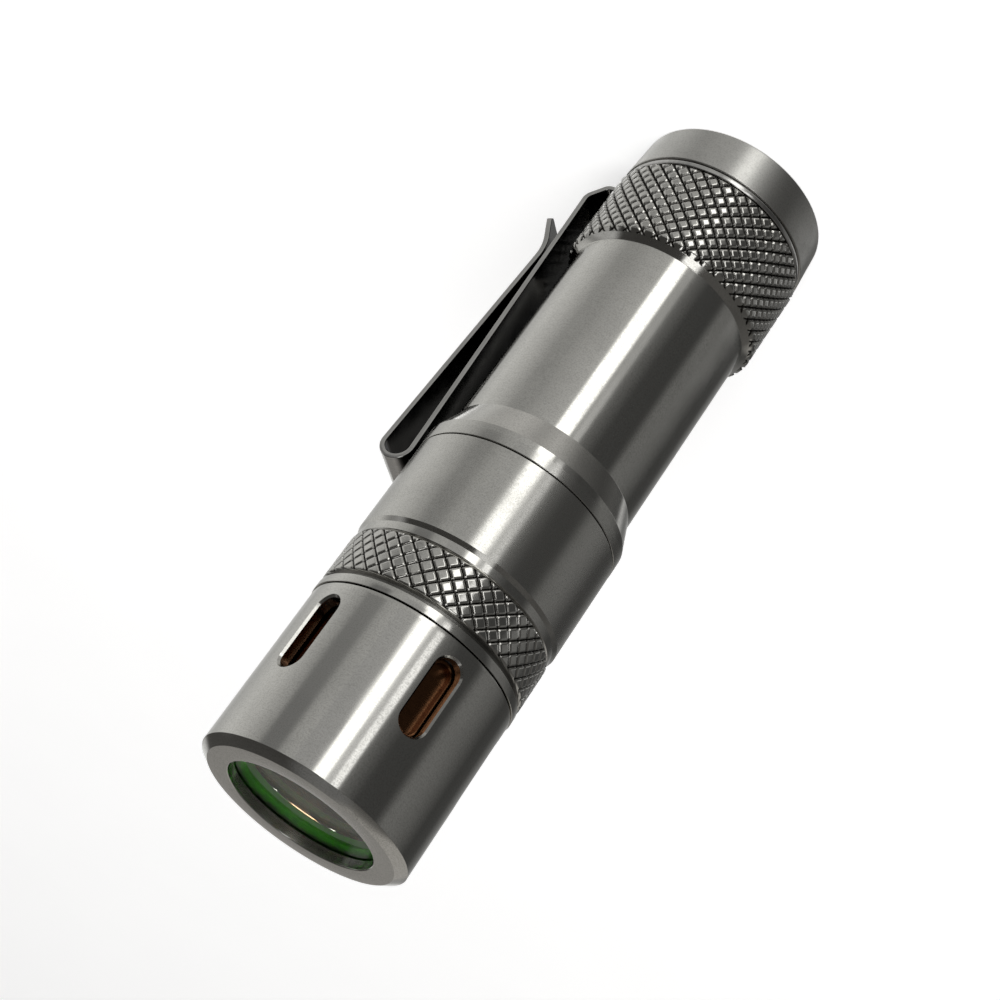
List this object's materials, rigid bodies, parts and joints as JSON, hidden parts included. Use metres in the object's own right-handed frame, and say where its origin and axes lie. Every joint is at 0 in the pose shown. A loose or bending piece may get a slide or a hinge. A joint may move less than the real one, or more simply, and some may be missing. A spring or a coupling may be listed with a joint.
{
  "type": "keychain flashlight",
  "caption": "Slim cylindrical metal flashlight with knurled grips, slotted bezel over a copper core, tail button and two-way pocket clip.",
  "frame": {"origin": "on the light's axis in the plane of the tail rim that it stands on; the tail button's face lies 0.3 mm inside that plane", "axes": "+Z along the light's axis, out of the lens; +X towards the pocket clip"},
  "size_m": [0.0218, 0.0182, 0.0671],
  "materials": {
    "titanium": "fine turned, satin to bright",
    "clip_steel": "polished dark spring sheet",
    "spring_steel": "bright wire",
    "gold_plate": "gold plated",
    "copper": "turned, lightly toned copper",
    "brass": "turned",
    "nickel_plate": "nickel plated",
    "black_rubber": "matt, greased",
    "glow_rubber": "matt glow-in-the-dark green",
    "lens_glass": "clear, coated",
    "optic_acrylic": "clear moulded acrylic",
    "white_plastic": "moulded",
    "black_plastic": "moulded",
    "cell_sleeve": "shrink sleeve",
    "circuit_board": "solder mask",
    "led_board_mask": "white solder mask",
    "led_phosphor": "silicone dome over phosphor",
    "red_wire": "insulated wire",
    "black_wire": "insulated wire"
  },
  "bodies": {
    "tail": {"tail_ring": "titanium", "switch_housing": "black_plastic", "switch_board": "circuit_board", "switch_retaining_ring": "brass", "switch_spring": "spring_steel", "tail_spring": "gold_plate"},
    "button": {"tail_button": "titanium", "button_oring": "black_rubber", "switch_plunger": "white_plastic"},
    "clip_base": {"clip_washer": "clip_steel"},
    "clip_inner": {"clip_inner_arm": "clip_steel"},
    "clip_outer": {"clip_outer_arm": "clip_steel"},
    "seal": {"tail_oring": "black_rubber"},
    "barrel": {"barrel": "titanium", "barrel_oring": "black_rubber"},
    "cell": {"cell_can": "nickel_plate", "cell_sleeve": "cell_sleeve", "cell_insulator": "white_plastic", "cell_cap": "nickel_plate"},
    "head": {"head_body": "titanium", "bezel_shell": "titanium", "bezel_oring": "black_rubber", "copper_core": "copper", "driver_board": "circuit_board", "driver_retaining_ring": "brass", "driver_contact": "gold_plate", "driver_inductor": "black_plastic", "driver_chip": "black_plastic", "led_board": "led_board_mask", "led_package": "white_plastic", "led_dome": "led_phosphor", "led_wire_red": "red_wire", "led_wire_black": "black_wire", "optic_holder": "white_plastic", "tir_optic": "optic_acrylic", "glow_gasket": "glow_rubber", "lens_glass": "lens_glass"}
  },
  "joints": [
    {"name": "button_press", "type": "slide", "parent": "tail", "child": "button", "axis": [0, 0, 1], "range_m": [0, 0.001], "stiffness_N_per_m": 1500, "springref_m": -0.0001, "deforming": ["switch_spring"]},
    {"name": "clip_swivel", "type": "hinge", "parent": "tail", "child": "clip_base", "pos_m": [0, 0, 0.00448], "axis": [0, 0, 1], "continuous": true},
    {"name": "clip_lift", "type": "hinge", "parent": "clip_base", "child": "clip_inner", "pos_m": [0.01054, 0, 0.00812], "axis": [0, 1, 0], "range_deg": [0, 5], "stiffness_Nm_per_rad": 0.6},
    {"name": "clip_open", "type": "hinge", "parent": "clip_inner", "child": "clip_outer", "pos_m": [0.00945, 0, 0.0363], "axis": [0, -1, 0], "range_deg": [0, 8], "stiffness_Nm_per_rad": 0.4},
    {"name": "tail_unscrew", "type": "slide", "parent": "tail", "child": "seal", "axis": [0, 0, 1], "range_m": [0, 0.00375], "deforming": ["tail_spring"]},
    {"name": "tail_twist", "type": "hinge", "parent": "seal", "child": "barrel", "pos_m": [0, 0, 0.00483], "axis": [0, 0, 1], "range_deg": [0, 1800]},
    {"name": "head_unscrew", "type": "slide", "parent": "barrel", "child": "cell", "axis": [0, 0, 1], "range_m": [0, 0.004]},
    {"name": "head_twist", "type": "hinge", "parent": "cell", "child": "head", "pos_m": [0, 0, 0.0369], "axis": [0, 0, 1], "range_deg": [0, 1800]}
  ],
  "couplings": [
    {"joint": "tail_twist", "follows": "tail_unscrew", "rad_per_m": 8377.6},
    {"joint": "head_twist", "follows": "head_unscrew", "rad_per_m": 7854}
  ]
}
